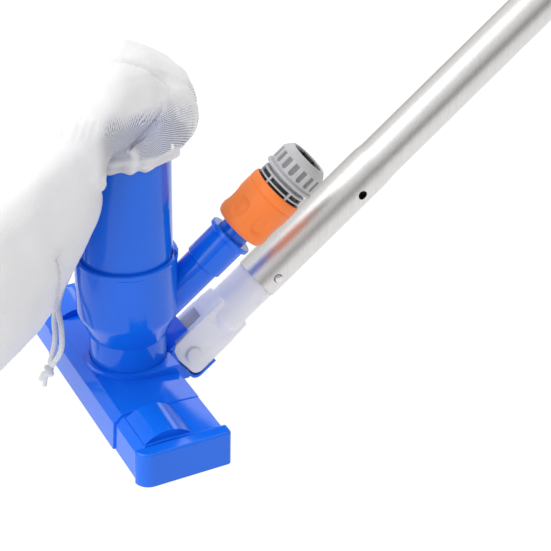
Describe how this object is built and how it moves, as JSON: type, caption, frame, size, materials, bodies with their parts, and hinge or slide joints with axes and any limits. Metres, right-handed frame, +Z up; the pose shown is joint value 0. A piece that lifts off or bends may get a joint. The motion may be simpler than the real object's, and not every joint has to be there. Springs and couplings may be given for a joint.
{
  "type": "manual pool vacuum head",
  "caption": "Water-jet pool vacuum head with a suction tube, a tied mesh bag, a hose quick connector and a hinged pole adapter with its first pole section.",
  "frame": {"origin": "on the floor, in the middle of the whole footprint; the suction tube stands 85 mm in front of it", "axes": "+Z up, +X along the head's long side, +Y from the head towards the handle's upper end"},
  "size_m": [0.1924, 0.4941, 0.2517],
  "materials": {
    "blue_shell": "glossy moulded plastic",
    "orange_sleeve": "satin moulded plastic with grip dimples",
    "grey_plastic": "satin moulded plastic",
    "dark_plastic": "matt moulded plastic",
    "milky_plastic": "translucent milky plastic",
    "aluminium": "satin drawn tube",
    "steel": "plain stainless steel",
    "rubber": "black rubber",
    "mesh_cloth": "fine white mesh",
    "cord": "white braided cord"
  },
  "bodies": {
    "head": {"head_shell": "blue_shell", "end_cap_right": "blue_shell", "end_cap_left": "blue_shell", "sole_plate": "blue_shell", "sole_screw_1": "steel", "sole_screw_2": "steel", "sole_screw_3": "steel", "sole_screw_4": "steel", "jet_housing": "blue_shell", "jet_ring": "grey_plastic", "suction_tube": "blue_shell", "tube_seal": "rubber", "neck_seal": "rubber", "hose_adaptor": "blue_shell", "adaptor_washer": "rubber", "nipple_seal": "rubber", "filter_bag": "mesh_cloth", "drawstring_left": "cord", "drawstring_right": "cord", "drawstring_knot": "cord"},
    "handle": {"clevis_adapter": "milky_plastic", "pivot_pin": "milky_plastic", "pin_retainer": "milky_plastic", "pole_section": "aluminium", "lower_snap_button_spring": "steel", "upper_snap_button_spring": "steel"},
    "lower_button": {"lower_snap_button": "steel"},
    "upper_button": {"upper_snap_button": "steel"},
    "connector": {"connector_body": "grey_plastic", "hose_collet": "dark_plastic", "release_spring": "steel"},
    "sleeve": {"release_sleeve": "orange_sleeve"},
    "claw_1": {"locking_claw_1": "steel"},
    "claw_2": {"locking_claw_2": "steel"},
    "claw_3": {"locking_claw_3": "steel"},
    "nut": {"hose_nut": "grey_plastic"}
  },
  "joints": [
    {"name": "handle_tilt", "type": "hinge", "parent": "head", "child": "handle", "pos_m": [0, -0.04558, 0.0188], "axis": [1, 0, 0], "range_deg": [0, 3]},
    {"name": "lower_button_press", "type": "slide", "parent": "handle", "child": "lower_button", "axis": [-1, 0, 0], "range_m": [0, 0.003], "stiffness_N_per_m": 300, "springref_m": -0.002, "deforming": ["lower_snap_button_spring"]},
    {"name": "upper_button_press", "type": "slide", "parent": "handle", "child": "upper_button", "axis": [-1, 0, 0], "range_m": [0, 0.003], "stiffness_N_per_m": 300, "springref_m": -0.002, "deforming": ["upper_snap_button_spring"]},
    {"name": "connector_swivel", "type": "hinge", "parent": "head", "child": "connector", "pos_m": [0.01057, -0.03929, 0.0848], "axis": [0.1591, 0.689, 0.7071], "continuous": true},
    {"name": "sleeve_release", "type": "slide", "parent": "connector", "child": "sleeve", "axis": [0.1591, 0.689, 0.7071], "range_m": [0, 0.004], "stiffness_N_per_m": 800, "springref_m": -0.004, "deforming": ["release_spring"]},
    {"name": "claw_1_release", "type": "slide", "parent": "connector", "child": "claw_1", "axis": [0.1591, 0.689, -0.7071], "range_m": [0, 0.001]},
    {"name": "claw_2_release", "type": "slide", "parent": "connector", "child": "claw_2", "axis": [-0.9234, -0.1497, 0.3536], "range_m": [0, 0.001]},
    {"name": "claw_3_release", "type": "slide", "parent": "connector", "child": "claw_3", "axis": [0.7643, -0.5393, 0.3536], "range_m": [0, 0.001]},
    {"name": "nut_turn", "type": "hinge", "parent": "connector", "child": "nut", "pos_m": [0.01057, -0.03929, 0.0848], "axis": [0.1591, 0.689, 0.7071], "range_deg": [0, 540]}
  ],
  "couplings": [
    {"joint": "claw_1_release", "follows": "sleeve_release", "ratio": 0.25},
    {"joint": "claw_2_release", "follows": "sleeve_release", "ratio": 0.25},
    {"joint": "claw_3_release", "follows": "sleeve_release", "ratio": 0.25}
  ]
}
